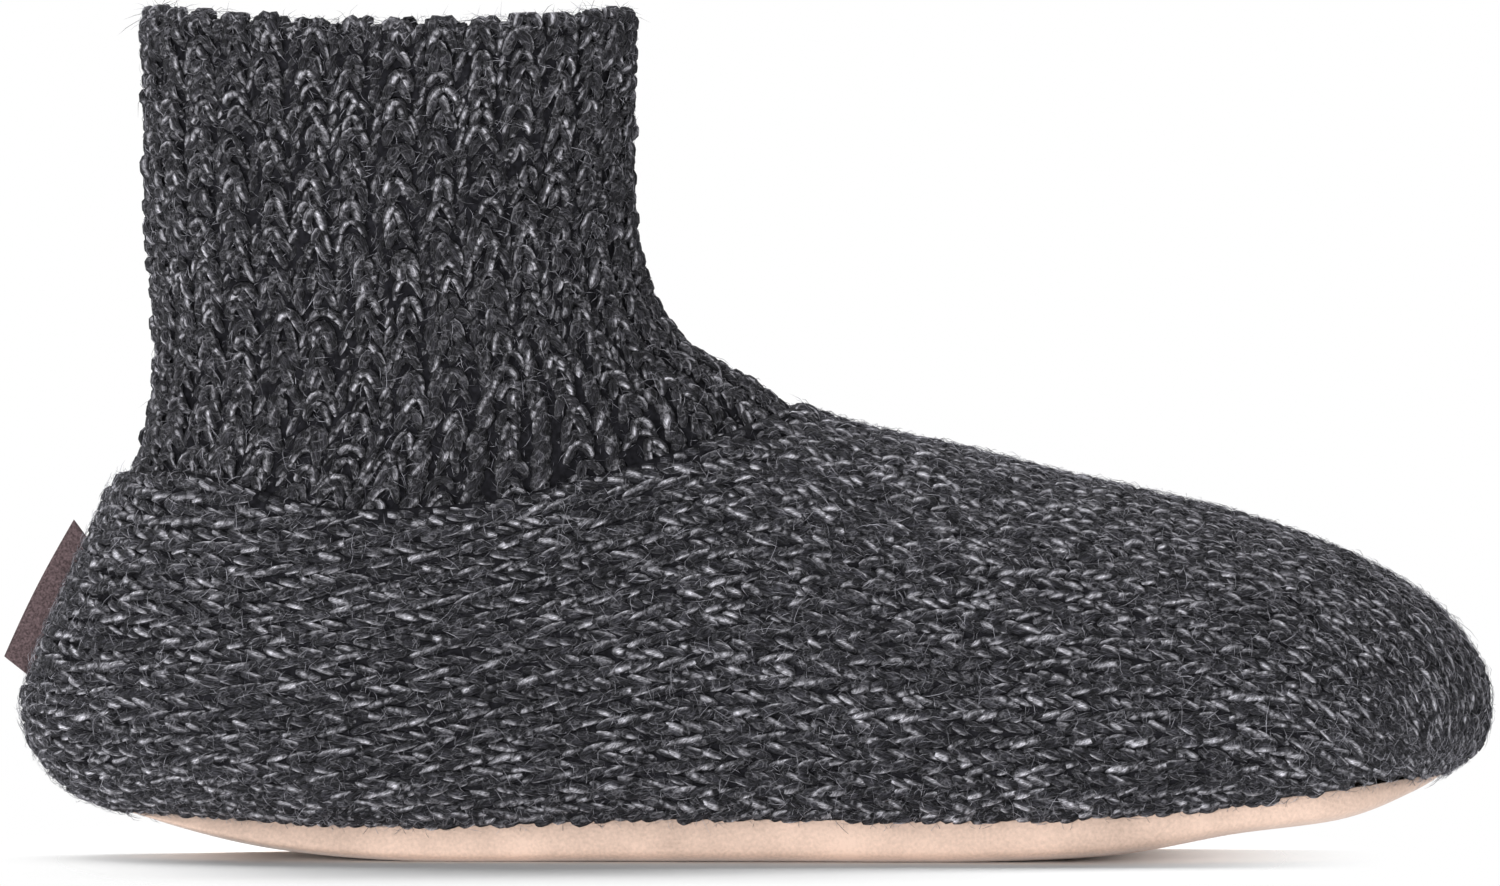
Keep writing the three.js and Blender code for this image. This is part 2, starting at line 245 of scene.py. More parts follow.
def foot_cuts(samples=90):
    """The courses on one side of the foot: paths from the feather line up to the seam or the ridge,
    nearly straight when seen from the side, as rows, angles and lengths. The number of the course that
    ends at the throat comes last."""
    low_rows = np.linspace(feather_rows()[0], TOE_END, 500)
    low_row, low_angle = even_steps(low_rows, feather_angle(low_rows), COURSES + 1)
    seam_angles = np.linspace(math.pi, 0, 300)
    ridge_rows = np.linspace(SEAM_FRONT, TOE_END, 300)[1:]
    top_rows = np.concatenate([seam_row(seam_angles), ridge_rows])
    top_angles = np.concatenate([seam_angles, np.zeros(len(ridge_rows))])
    across = 1 - (1 - THROAT_GATHER) * ease(last_point(top_rows, top_angles)[1:, 0], THROAT_SPAN)
    top_row, top_angle = even_steps(top_rows, top_angles, COURSES + 1, across)
    rise = 0.5 - 0.5 * np.cos(math.pi * np.linspace(0, 1, samples))
    back_rows = np.linspace(low_row[0], top_row[0], 300)
    back = last_point(back_rows, math.pi)
    back_share = lengths(back)
    back_share = back_share / back_share[-1]
    bow = np.stack([np.interp(rise, back_share, back[:, axis]) for axis in (0, 2)], axis=-1)
    bow = bow - (bow[:1] + (bow[-1:] - bow[:1]) * rise[:, None])
    low = last_point(low_row, low_angle)[:, None, [0, 2]]
    top = last_point(top_row, top_angle)[:, None, [0, 2]]
    bow_share = 1 - ease(np.arange(COURSES + 1), HEEL_BOW)
    seen = low + (top - low) * rise[:, None] + bow * bow_share[:, None, None]
    rows, angles = np.empty(seen.shape[:2]), np.empty(seen.shape[:2])
    for i in range(COURSES + 1):
        rows[i], angles[i] = side_place(seen[i, :, 0], seen[i, :, 1])
    rows[:, 0], angles[:, 0] = low_row, low_angle
    rows[:, -1], angles[:, -1] = top_row, top_angle
    throat = int(np.argmax(top_angle < 1e-3))
    return rows, angles, lengths(last_point(rows, angles)), throat


def foot_chart(cut_rows, cut_angles, cut_length, throat):
    """The stitches' chart on one side of the foot: for each course and each half wale up from the
    feather line, the row and angle on the last, and the distances from the feather line and from the
    seam in mm."""
    whole = cut_length[:, -1]
    half_wales = np.arange(2 * WALES + 1) / 2
    widest_wale = (whole[throat] - EDGE_LIFT) / WALES
    rows, angles, from_feather, from_seam = [], [], [], []
    for i in range(COURSES + 1):
        if i <= throat:
            wale = HEEL_WALE + (WAIST_WALE - HEEL_WALE) * ease(i, (0, WAIST_COURSE))
            wale = wale + (widest_wale - WAIST_WALE) * ease(i, (WAIST_COURSE, throat))
            at = EDGE_LIFT + half_wales * wale
        else:
            even = (whole[i] - EDGE_LIFT) / WALES
            wale = (even ** NARROWING + NARROWEST_WALE ** NARROWING) ** (1 / NARROWING)
            at = whole[i] - (WALES - half_wales) * wale
        rows.append(np.interp(at, cut_length[i], cut_rows[i]))
        angles.append(np.interp(at, cut_length[i], cut_angles[i]))
        from_feather.append(at - EDGE_LIFT)
        from_seam.append(whole[i] - at if i <= throat else np.full(len(at), np.inf))
    return np.array(rows), np.array(angles), np.array(from_feather), np.array(from_seam)


def seam_roll(from_seam, course):
    """How far the foot's top edge rolls out at a distance from the seam, by course."""
    tall = ROLL_SIDE + (ROLL_BACK - ROLL_SIDE) * (1 - ease(course, ROLL_FADE))
    tall = tall * (1 - ease(course, ROLL_END))
    return tall * np.exp(-((from_seam - ROLL_PLACE) / ROLL_WIDTH) ** 2)


def edge_turn(from_seam):
    """How far the top edge turns in towards the shaft at a distance from the seam."""
    return EDGE_TURN * np.exp(-(from_seam / EDGE_TURN_WIDTH) ** 2)


def on_grid(grid, i, j):
    """Values of a grid at fractional places, mixed from the four around each."""
    i = np.clip(i, 0, grid.shape[0] - 1.001)
    j = np.clip(j, 0, grid.shape[1] - 1.001)
    i0 = np.floor(i).astype(int)
    j0 = np.floor(j).astype(int)
    u = (i - i0)[..., None]
    v = (j - j0)[..., None]
    low = grid[i0, j0] * (1 - v) + grid[i0, j0 + 1] * v
    high = grid[i0 + 1, j0] * (1 - v) + grid[i0 + 1, j0 + 1] * v
    return low * (1 - u) + high * u


def mesh_piece(name, points, faces, material):
    """A smooth mesh object from points in mm and faces with equal numbers of corners."""
    mesh = bpy.data.meshes.new(name)
    faces = np.asarray(faces, np.int32)
    corners = faces.shape[1]
    mesh.vertices.add(len(points))
    mesh.vertices.foreach_set("co", (np.asarray(points) * MM).astype(np.float32).ravel())
    mesh.loops.add(faces.size)
    mesh.loops.foreach_set("vertex_index", faces.ravel())
    mesh.polygons.add(len(faces))
    mesh.polygons.foreach_set("loop_start", np.arange(0, faces.size, corners, dtype=np.int32))
    mesh.polygons.foreach_set("use_smooth", np.full(len(faces), True))
    mesh.update(calc_edges=True)
    mesh.validate()
    mesh.materials.append(material)
    piece = bpy.data.objects.new(name, mesh)
    bpy.context.scene.collection.objects.link(piece)
    return piece


def sheet_faces(rows, columns, closed_rows=False, closed_columns=False):
    """The four-cornered faces of a grid of points."""
    r = np.arange(rows if closed_rows else rows - 1)
    c = np.arange(columns if closed_columns else columns - 1)
    r, c = (a.ravel() for a in np.meshgrid(r, c, indexing="ij"))
    next_r = (r + 1) % rows
    next_c = (c + 1) % columns
    corners = [r * columns + c, r * columns + next_c, next_r * columns + next_c, next_r * columns + c]
    return np.stack(corners, axis=1)


def slab(outside, inside):
    """A closed thin piece between two sheets of points of one size: its points and its faces."""
    rows, columns = outside.shape[:2]
    count = rows * columns
    points = np.concatenate([outside.reshape(-1, 3), inside.reshape(-1, 3)])
    sheet = sheet_faces(rows, columns)
    number = np.arange(count).reshape(rows, columns)
    border = np.concatenate([number[0, :-1], number[:-1, -1], number[-1, :0:-1], number[:0:-1, 0]])
    following = np.roll(border, -1)
    edge = np.stack([border, border + count, following + count, following], axis=1)
    return points, np.concatenate([sheet, sheet[:, ::-1] + count, edge])


def yarn_tubes(name, paths, outward, wide, thick, tone, material, sides=5):
    """Lengths of yarn as one mesh, which carries the place along and around each yarn, and its tone."""
    count, steps = paths.shape[:2]
    tangent = unit(np.gradient(paths, axis=1))
    across = unit(np.cross(outward, tangent))
    up = np.cross(tangent, across)
    turn = 2 * math.pi * np.arange(sides) / sides - math.pi / 2
    ring = (
        across[:, :, None] * (np.cos(turn)[:, None] * wide[..., None, None])
        + up[:, :, None] * (np.sin(turn)[:, None] * thick[..., None, None])
    )
    points = (paths[:, :, None] + ring).reshape(-1, 3)
    one = sheet_faces(steps, sides, closed_columns=True)
    faces = (one[None] + (np.arange(count) * steps * sides)[:, None, None]).reshape(-1, 4)
    piece = mesh_piece(name, points, faces, material)
    yarn = np.empty((count, steps, sides, 3), np.float32)
    yarn[..., 0] = lengths(paths)[..., None]
    yarn[..., 1] = YARN_GIRTH * np.arange(sides) / sides
    yarn[..., 2] = tone[:, None, None]
    piece.data.attributes.new("yarn", "FLOAT_VECTOR", "POINT").data.foreach_set("vector", yarn.ravel())
    return piece


def knit_legs(grid, normals, centre_i, centre_j, leg, rng, per_j, steps, uneven=1.0):
    """Paths of one leg of each stitch, laid on a grid. A leg is a table of along, across and height."""
    count = len(centre_i)
    table = smooth_row(leg, np.linspace(0, len(leg) - 1, steps))
    along, across, height = (np.repeat(table[None, :, c], count, axis=0) for c in range(3))
    by = uneven * LEG_UNEVEN
    along = along * (1 + by * rng.standard_normal((count, 1)))
    along = along + by * rng.standard_normal((count, 1))
    across = across * (1 + by * rng.standard_normal((count, 1)))
    across = across + LEG_SHIFT * by * rng.standard_normal((count, 1))
    height = height + uneven * LEG_LIFT * rng.standard_normal((count, 1))
    i = centre_i[:, None] + along
    j = centre_j[:, None] + across * per_j
    outward = unit(on_grid(normals, i, j))
    return on_grid(grid, i, j) + outward * height[..., None], outward


def wool_fibres(name, grid, normals, i, j, reach, lift, rings, rng, material):
    """Loose fibres that lie on the knit and stand out of it: thin bent spindles, closed at both ends."""
    count = len(i)
    outward = unit(on_grid(normals, i, j))
    root = on_grid(grid, i, j) - FIBRE_ROOT * outward
    ahead = unit(np.cross(outward, rng.standard_normal((count, 3))))
    beside = np.cross(outward, ahead)
    long = reach * np.exp(FIBRE_UNEVEN * rng.standard_normal(count))
    curl = long * FIBRE_CURL * rng.standard_normal(count)
    rise = lift * np.abs(rng.standard_normal(count)) + FIBRE_START * FIBRE_ROOT
    s = np.linspace(0, 1, rings + 2)
    path = (
        root[:, None]
        + ahead[:, None] * (long[:, None] * s)[..., None]
        + beside[:, None] * (curl[:, None] * s ** 2)[..., None]
        + outward[:, None] * (rise[:, None] * np.sin(FIBRE_ARCH * s))[..., None]
    )
    path[..., 2] = np.maximum(path[..., 2], FLOOR_CLEAR)
    tangent = unit(np.gradient(path, axis=1))[:, 1:-1]
    across = unit(np.cross(tangent, outward[:, None]))
    up = np.cross(tangent, across)
    turn = 2 * math.pi * np.arange(3) / 3
    radius = (FIBRE_RADIUS * (0.7 + 0.6 * rng.random(count)))[:, None, None, None]
    ring = across[:, :, None] * np.cos(turn)[:, None] + up[:, :, None] * np.sin(turn)[:, None]
    body = (path[:, 1:-1, None] + radius * ring).reshape(count, -1, 3)
    points = np.concatenate([path[:, :1], body, path[:, -1:]], axis=1)
    tip = 3 * rings + 1
    faces = []
    for k in range(3):
        this, other = 1 + k, 1 + (k + 1) % 3
        faces.append((0, other, this))
        for r in range(0, 3 * (rings - 1), 3):
            faces.append((this + r, other + r, other + r + 3))
            faces.append((this + r, other + r + 3, this + r + 3))
        faces.append((this + tip - 4, other + tip - 4, tip))
    faces = np.array(faces)[None] + (np.arange(count) * (tip + 1))[:, None, None]
    piece = mesh_piece(name, points.reshape(-1, 3), faces.reshape(-1, 3), material)
    tone = np.repeat(rng.random(count), tip + 1).astype(np.float32)
    piece.data.attributes.new("tone", "FLOAT", "POINT").data.foreach_set("value", tone)
    return piece


def new_finish(name, roughness, specular):
    """A material with its nodes, its links and its shader at hand."""
    material = bpy.data.materials.new(name)
    material.use_nodes = True
    nodes = material.node_tree.nodes
    shader = nodes["Principled BSDF"]
    shader.inputs["Roughness"].default_value = roughness
    shader.inputs["Specular IOR Level"].default_value = specular
    return material, nodes, material.node_tree.links.new, shader


def tone_ramp(nodes, *stops):
    """A colour ramp from places and colours, lowest place first."""
    ramp = nodes.new("ShaderNodeValToRGB")
    elements = ramp.color_ramp.elements
    for place, colour in stops[1:-1]:
        elements.new(place).color = (*colour, 1)
    elements[0].position = stops[0][0]
    elements[0].color = (*stops[0][1], 1)
    elements[-1].position = stops[-1][0]
    elements[-1].color = (*stops[-1][1], 1)
    return ramp


def calculate(nodes, link, operation, *values):
    """A value worked out by a node from sockets or plain numbers."""
    node = nodes.new("ShaderNodeMath")
    node.operation = operation
    for socket, value in zip(node.inputs, values):
        if isinstance(value, bpy.types.NodeSocket):
            link(value, socket)
        else:
            socket.default_value = value
    return node.outputs[0]


def noise_in(nodes, link, vector, scale, detail, turn=0.0, place=(0.0, 0.0, 0.0)):
    """Soft noise from 0 to 1, stretched by its scale after a turn."""
    turned = nodes.new("ShaderNodeMapping")
    turned.inputs["Rotation"].default_value = (0, 0, turn)
    turned.inputs["Location"].default_value = place
    stretched = nodes.new("ShaderNodeMapping")
    stretched.inputs["Scale"].default_value = scale
    noise = nodes.new("ShaderNodeTexNoise")
    noise.inputs["Scale"].default_value = 1.0
    noise.inputs["Detail"].default_value = detail
    link(vector, turned.inputs["Vector"])
    link(turned.outputs["Vector"], stretched.inputs["Vector"])
    link(stretched.outputs["Vector"], noise.inputs["Vector"])
    return noise.outputs["Fac"]


def yarn_wool(name, dark, base, grey, light, seed, breaks):
    """Marl wool yarn: dark fibres, with a light ply that winds round and comes and goes."""
    material, nodes, link, shader = new_finish(name, 0.95, 0.1)
    shader.inputs["Sheen Weight"].default_value = 0.1
    shader.inputs["Sheen Roughness"].default_value = 0.5
    shader.inputs["Sheen Tint"].default_value = (0.75, 0.76, 0.8, 1)
    yarn = nodes.new("ShaderNodeAttribute")
    yarn.attribute_name = "yarn"
    winding = nodes.new("ShaderNodeVectorMath")
    winding.operation = "DOT_PRODUCT"
    winding.inputs[1].default_value = (PLY_TURN, PLY_COUNT * 2 * math.pi / YARN_GIRTH, PLY_SHIFT)
    link(yarn.outputs["Vector"], winding.inputs[0])
    place = (seed, 0, seed)
    broken = noise_in(nodes, link, yarn.outputs["Vector"], (breaks, *BREAK_GRAIN), 2, 0, place)
    fibre = noise_in(nodes, link, yarn.outputs["Vector"], FIBRE_GRAIN, 4, 0, place)
    stray = noise_in(nodes, link, yarn.outputs["Vector"], STRAY_GRAIN, 3, STRAY_TURN, place)
    ply = calculate(nodes, link, "COSINE", winding.outputs["Value"])
    ply = calculate(nodes, link, "MAXIMUM", ply, 0.0)
    ply = calculate(nodes, link, "POWER", ply, PLY_SHARPNESS)
    shown = calculate(nodes, link, "SUBTRACT", broken, BROKEN_FROM)
    shown = calculate(nodes, link, "MULTIPLY", shown, 1 / BROKEN_SPAN)
    shown = calculate(nodes, link, "MINIMUM", calculate(nodes, link, "MAXIMUM", shown, 0.0), 1.0)
    streak = calculate(nodes, link, "MULTIPLY", ply, shown)
    body = calculate(nodes, link, "MULTIPLY", fibre, 1 - PATCH_SHARE)
    body = calculate(nodes, link, "MULTIPLY_ADD", broken, PATCH_SHARE, body)
    tones = tone_ramp(nodes, *zip(YARN_TONES, (dark, base, grey)))
    link(body, tones.inputs["Fac"])
    marl = nodes.new("ShaderNodeMix")
    marl.data_type = "RGBA"
    marl.inputs["B"].default_value = (*light, 1)
    link(streak, marl.inputs["Factor"])
    link(tones.outputs["Color"], marl.inputs["A"])
    felt = calculate(nodes, link, "MULTIPLY", fibre, stray)
    felt = calculate(nodes, link, "MULTIPLY_ADD", felt, FELT_CONTRAST, 1 - FELT_MIDDLE * FELT_CONTRAST)
    felt = calculate(nodes, link, "MAXIMUM", felt, LEAST_FELT)
    felted = nodes.new("ShaderNodeVectorMath")
    felted.operation = "SCALE"
    link(marl.outputs["Result"], felted.inputs[0])
    link(felt, felted.inputs["Scale"])
    spot = nodes.new("ShaderNodeTexCoord")
    curls = noise_in(nodes, link, spot.outputs["Object"], CURL_SCALE, 2, CURL_TURN, place)
    off_line = calculate(nodes, link, "ABSOLUTE", calculate(nodes, link, "SUBTRACT", curls, 0.5))
    curl = calculate(nodes, link, "MULTIPLY_ADD", off_line, -CURL_SHARE / CURL_THIN, CURL_SHARE)
    curl = calculate(nodes, link, "MAXIMUM", curl, 0.0)
    haired = nodes.new("ShaderNodeMix")
    haired.data_type = "RGBA"
    haired.inputs["B"].default_value = (*light, 1)
    link(curl, haired.inputs["Factor"])
    link(felted.outputs[0], haired.inputs["A"])
    link(haired.outputs["Result"], shader.inputs["Base Color"])
    bump = nodes.new("ShaderNodeBump")
    bump.inputs["Strength"].default_value = 0.8
    bump.inputs["Distance"].default_value = 0.0005
    link(felt, bump.inputs["Height"])
    link(bump.outputs["Normal"], shader.inputs["Normal"])
    return material


def loose_wool(name, dark, light):
    """Single fibres of wool, from dark to light grey."""
    material, nodes, link, shader = new_finish(name, 0.8, 0.3)
    tone = nodes.new("ShaderNodeAttribute")
    tone.attribute_name = "tone"
    tones = tone_ramp(nodes, (0.3, dark), (1.0, light))
    link(tone.outputs["Fac"], tones.inputs["Fac"])
    link(tones.outputs["Color"], shader.inputs["Base Color"])
    return material


def shaded_cloth(name, colour, scale=900):
    """Brushed cloth, mottled darker and lighter."""
    material, nodes, link, shader = new_finish(name, 1.0, 0.1)
    place = nodes.new("ShaderNodeTexCoord")
    noise = nodes.new("ShaderNodeTexNoise")
    noise.inputs["Scale"].default_value = scale
    noise.inputs["Detail"].default_value = 3
    darker = tuple(MOTTLE_DARK * c for c in colour)
    lighter = tuple(MOTTLE_LIGHT * c for c in colour)
    tones = tone_ramp(nodes, (0.35, darker), (0.75, lighter))
    link(place.outputs["Object"], noise.inputs["Vector"])
    link(noise.outputs["Fac"], tones.inputs["Fac"])
    link(tones.outputs["Color"], shader.inputs["Base Color"])
    return material


# A stitch leg from its tip, at the column's middle towards the toe, back to its root at the column's
# edge. The yarn's twist makes one leg of each stitch steeper. The columns are along in courses, across in
# wales and height in mm.
STEEP_LEG = np.array([
    (0.7, 0.1, -2.2), (0.38, 0.16, -1.5), (0.0, 0.25, -1.3), (-0.4, 0.35, -1.5), (-0.68, 0.4, -2.2),
])
FLAT_LEG = np.array([
    (0.78, -0.12, -2.2), (0.42, -0.17, -1.5), (0.0, -0.24, -1.3), (-0.45, -0.33, -1.5),
    (-0.8, -0.38, -2.2),
])
LEG_STEPS = 6
LEG_UNEVEN = 0.12
LEG_SHIFT = 0.4
LEG_LIFT = 0.16
LEG_SWELL = 0.13
LEG_TAPER = np.array([0.55, 0.9, 1.0, 1.0, 0.88, 0.5])
LEG_WIDE = 0.235
LEG_THICK = 0.2
LEAST_LEG_WALE, MOST_LEG_WALE = 2.5, 6.0
LEAST_FEATHER_ROOM = -0.8
LEAST_SEAM_ROOM = 0.3
FOOT_SEED = 11

# The yarn's plies, one of them light. A grain is how often the look changes along a yarn, around it and
# from yarn to yarn.
YARN_GIRTH = 6.5
PLY_TURN = -0.2
PLY_COUNT = 2
PLY_SHIFT = 61.0
PLY_SHARPNESS = 3.0
BREAK_GRAIN = (0.2, 47.0)
BROKEN_FROM, BROKEN_SPAN = 0.39, 0.3
FIBRE_GRAIN = (0.8, 3.4, 17.0)
STRAY_GRAIN = (1.0, 4.2, 29.0)
STRAY_TURN = 0.7
PATCH_SHARE = 0.45
YARN_TONES = (0.36, 0.5, 0.68)
FELT_CONTRAST = 6.5
FELT_MIDDLE = 0.25
LEAST_FELT = 0.25
CURL_SCALE = (260, 420, 420)
CURL_TURN = 0.4
CURL_SHARE = 0.16
CURL_THIN = 0.03
MOTTLE_DARK, MOTTLE_LIGHT = 0.5, 1.6

# The loose fibres. The columns of the fuzz are reach and lift in mm, and rings along a fibre.
FUZZ = {"short": (1.8, 0.25, 1), "long": (2.8, 0.35, 2)}
FOOT_FIBRES = {"short": 11000, "long": 4000}
FIBRE_RADIUS = 0.04
FIBRE_ROOT = 0.8
FIBRE_START = 0.6
FIBRE_UNEVEN = 0.4
FIBRE_CURL = 0.5
FIBRE_ARCH = 2.3
FLOOR_CLEAR = 0.3

charcoal_marl = yarn_wool(
    "charcoal_marl",
    dark=(0.0074, 0.0073, 0.009),
    base=(0.0204, 0.02, 0.0245),
    grey=(0.067, 0.066, 0.079),
    light=(0.78, 0.77, 0.84),
    seed=2,
    breaks=0.62,
)
loose_fibre = loose_wool("loose_fibre", (0.094, 0.093, 0.107), (0.53, 0.525, 0.585))
knit_backing = shaded_cloth("knit_backing", (0.012, 0.0118, 0.0145))

cut_rows, cut_angles, cut_length, throat = foot_cuts()
chart_rows, chart_angles, chart_low, chart_from_seam = foot_chart(
    cut_rows, cut_angles, cut_length, throat,
)
stitch_i, stitch_k = (a.ravel() for a in np.meshgrid(np.arange(COURSES), np.arange(WALES), indexing="ij"))
middle_k = 2 * stitch_k + 1
feather_room = np.minimum(chart_low[stitch_i, middle_k], chart_low[stitch_i + 1, middle_k])
seam_room = np.minimum(chart_from_seam[stitch_i, middle_k], chart_from_seam[stitch_i + 1, middle_k])
fits = (feather_room > LEAST_FEATHER_ROOM) & (seam_room > LEAST_SEAM_ROOM)
stitch_i = stitch_i[fits]
stitch_k = stitch_k[fits]
chart_course = np.arange(COURSES + 1)[:, None]
chart_roll = seam_roll(chart_from_seam, chart_course) - edge_turn(chart_from_seam)

for side, side_name in ((-1, "outer"), (1, "inner")):
    rng = np.random.default_rng(FOOT_SEED + side)
    grid, normals = skin(chart_rows, side * chart_angles, chart_roll)
    wale_mm = np.linalg.norm(np.diff(grid, axis=1), axis=-1)
    wale_mm = np.concatenate([wale_mm, wale_mm[:, -1:]], axis=1)[..., None] * 2
    course_mm = np.linalg.norm(np.diff(grid, axis=0), axis=-1)
    stitch_area = (wale_mm[:-1, :, 0] * course_mm)[stitch_i, 2 * stitch_k + 1]
    for part, chosen in (("side", stitch_k < SIDE_WALES), ("vamp", stitch_k >= SIDE_WALES)):
        i = stitch_i[chosen] + 0.5
        j = 2.0 * stitch_k[chosen] + 1
        paths, outs, widths = [], [], []
        for leg in (STEEP_LEG, FLAT_LEG):
            turned = leg * (1, -side, 1)
            path, out = knit_legs(grid, normals, i, j, turned, rng, 2.0, LEG_STEPS)
            paths.append(path)
            outs.append(out)
            wale = np.clip(on_grid(wale_mm, i, j), LEAST_LEG_WALE, MOST_LEG_WALE)
            widths.append(wale[:, :1] * LEG_TAPER)
        paths, outs, widths = (np.concatenate(a) for a in (paths, outs, widths))
        widths = widths * (1 + LEG_SWELL * rng.standard_normal((len(widths), 1)))
        tone = rng.random(len(paths))
        knit = yarn_tubes(
            f"foot_knit_{part}_{side_name}", paths, outs, LEG_WIDE * widths, LEG_THICK * widths, tone,
            charcoal_marl,
        )
        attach(knit, "root")
    for length, (reach, lift, rings) in FUZZ.items():
        count = FOOT_FIBRES[length]
        pick = rng.choice(len(stitch_i), size=count, p=stitch_area / stitch_area.sum())
        i = stitch_i[pick] + rng.random(count)
        j = 2.0 * (stitch_k[pick] + rng.random(count))
        fuzz = wool_fibres(
            f"foot_fuzz_{length}_{side_name}", grid, normals, i, j, reach, lift, rings, rng, loose_fibre,
        )
        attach(fuzz, "root")

# The bound-off top edge: a chain of single stitches along the seam, over the ends of the columns.
EDGE_LEG = np.array([
    (0.62, 0.32, -2.2), (0.36, 0.18, -1.5), (0.0, 0.0, -1.25), (-0.36, -0.18, -1.5), (-0.62, -0.32, -2.2),
])
EDGE_WIDE = 1.0
EDGE_THICK = 0.8
EDGE_PLACES = np.array([0.0, 1.2, 2.4])
EDGE_SEED = 17

rng = np.random.default_rng(EDGE_SEED)
edge_course = np.arange(throat + 1)
edge_at = cut_length[: throat + 1, -1:] - EDGE_PLACES
edge_rows = np.array([np.interp(edge_at[i], cut_length[i], cut_rows[i]) for i in edge_course])
edge_angles = np.array([np.interp(edge_at[i], cut_length[i], cut_angles[i]) for i in edge_course])
edge_roll = seam_roll(EDGE_PLACES, edge_course[:, None]) - edge_turn(EDGE_PLACES)
paths, outs = [], []
for side in (-1, 1):
    grid, normals = skin(edge_rows, side * edge_angles, edge_roll)
    path, out = knit_legs(
        grid, normals, edge_course[:-1] + 0.5, np.ones(throat), EDGE_LEG, rng, 1.0, LEG_STEPS,
    )
    paths.append(path)
    outs.append(out)
paths, outs = (np.concatenate(a) for a in (paths, outs))
full = np.broadcast_to(LEG_TAPER, paths.shape[:2])
top_edge = yarn_tubes(
    "foot_top_edge", paths, outs, EDGE_WIDE * full, EDGE_THICK * full, rng.random(len(paths)),
    charcoal_marl,
)
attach(top_edge, "root")

# The toe gather: a few turns of yarn under the tip that draw the last stitches together across the
# middle. The columns of the line that they cross are x and z.
GATHER_LINE = np.array([
    (142.0, 24.6), (141.5, 22.2), (140.6, 20.2), (139.0, 18.5), (137.0, 17.1), (135.2, 16.2),
])
GATHER_WIDE = 1.2
GATHER_THICK = 0.9
GATHER_MIDDLE = 7.1
GATHER_HALF = 3.2
GATHER_SLANT = 0.8
GATHER_DEPTH = 1.2
GATHER_SINK = 1.0

share = np.linspace(-1, 1, LEG_STEPS)[:, None]
run = unit(np.gradient(GATHER_LINE, axis=0))
still = np.zeros(len(run))
run_on = np.stack([run[:, 0], still, run[:, 1]], axis=1)[:, None]
out = np.stack([-run[:, 1], still, run[:, 0]], axis=1)[:, None]
middle = np.stack([GATHER_LINE[:, 0], still + GATHER_MIDDLE, GATHER_LINE[:, 1]], axis=1)[:, None]
paths = (
    middle + share * (0, GATHER_HALF, 0) + run_on * (GATHER_SLANT * share)
    - out * (GATHER_DEPTH + GATHER_SINK * share ** 2)
)
outs = np.broadcast_to(out, paths.shape)
full = np.broadcast_to(LEG_TAPER, paths.shape[:2])
gather = yarn_tubes(
    "foot_toe_gather", paths, outs, GATHER_WIDE * full, GATHER_THICK * full, rng.random(len(paths)),
    charcoal_marl,
)
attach(gather, "root")

# The backing: the inside of the knit, a closed thin pouch under the stitches, from feather line to seam.
BACKING_DEPTH = -1.8
BACKING_LIFT = 1.4

shell_share = np.linspace(0, 1, 41)
shell_rows, shell_angles, shell_roll = [], [], []
for i in range(COURSES + 1):
    whole = cut_length[i, -1]
    at = np.minimum(BACKING_LIFT, whole) * (1 - shell_share) + whole * shell_share
    shell_rows.append(np.interp(at, cut_length[i], cut_rows[i]))
    shell_angles.append(np.interp(at, cut_length[i], cut_angles[i]))
    shell_roll.append(seam_roll(whole - at, i) if i <= throat else np.zeros(len(at)))
shell_rows, shell_angles, shell_roll = (np.array(a) for a in (shell_rows, shell_angles, shell_roll))
shell_points, shell_faces = [], []
for side in (-1, 1):
    outside = skin(shell_rows, side * shell_angles, BACKING_DEPTH + shell_roll)[0]
    inside = skin(shell_rows, side * shell_angles, np.full(shell_rows.shape, -UPPER_WALL))[0]
    points, faces = slab(outside, inside)
    shell_faces.append((faces if side < 0 else faces[:, ::-1]) + sum(len(p) for p in shell_points))
    shell_points.append(points)
backing = mesh_piece(
    "foot_backing", np.concatenate(shell_points), np.concatenate(shell_faces), knit_backing,
)
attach(backing, "root")
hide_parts("upper")


# The ribbed shaft
# The same wool knitted in a one-by-one rib, so raised columns of upright stitches stand between sunk
# ones. It is doubled over at the collar, and its lower edge is tucked inside the foot and sewn there.

RIB_COUNT = 33
SHAFT_WALL = 3.8
SHAFT_SINK = UPPER_WALL + 0.7
SHAFT_COURSES = 34
RIM_COURSES = 2
COLLAR_RISE = 2.6
COLLAR_CORNER = 0.4
CORNER_POWER = 16
RISE_FADE = 0.11
TUCK_ROWS = 0.3
RIB_FINENESS = 4
RIB_LOOP = np.array([
    (-0.72, -0.25, -2.0), (-0.36, -0.22, -0.8), (0.0, -0.18, -0.4), (0.33, -0.11, -0.7),
    (0.46, 0.0, -1.5),
    (0.33, 0.1, -0.8), (0.0, 0.17, -0.4), (-0.36, 0.22, -0.8), (-0.72, 0.26, -2.0),
])
RIB_UNEVEN = 1.7
LOOP_TAPER = np.array([0.55, 0.85, 0.95, 1.0, 1.0, 0.95, 1.0, 1.0, 0.95, 0.85, 0.55])
LEAST_SPREAD, MOST_SPREAD = 0.66, 1.1
RIB_PITCH = 8.0
RIB_YARN_WIDE = 1.1
RIB_YARN_THICK = 0.9
GROOVE_LEG = np.array([
    (0.74, 0.1, -2.5), (0.4, 0.05, -2.0), (0.0, 0.0, -1.8), (-0.4, -0.05, -2.0), (-0.74, -0.1, -2.5),
])
GROOVE_WIDE = 1.2
GROOVE_THICK = 0.8
GROOVE_RISE = 0.6
GROOVE_SWELL = 0.4
SPREAD_PITCH = 11.0
WALL_DEPTH = 1.5
WALL_RIPPLE = 0.8
SHAFT_FIBRES = {"short": 11000, "long": 4000}
FUZZ_SPREAD = 0.25
SHAFT_SEED = 23

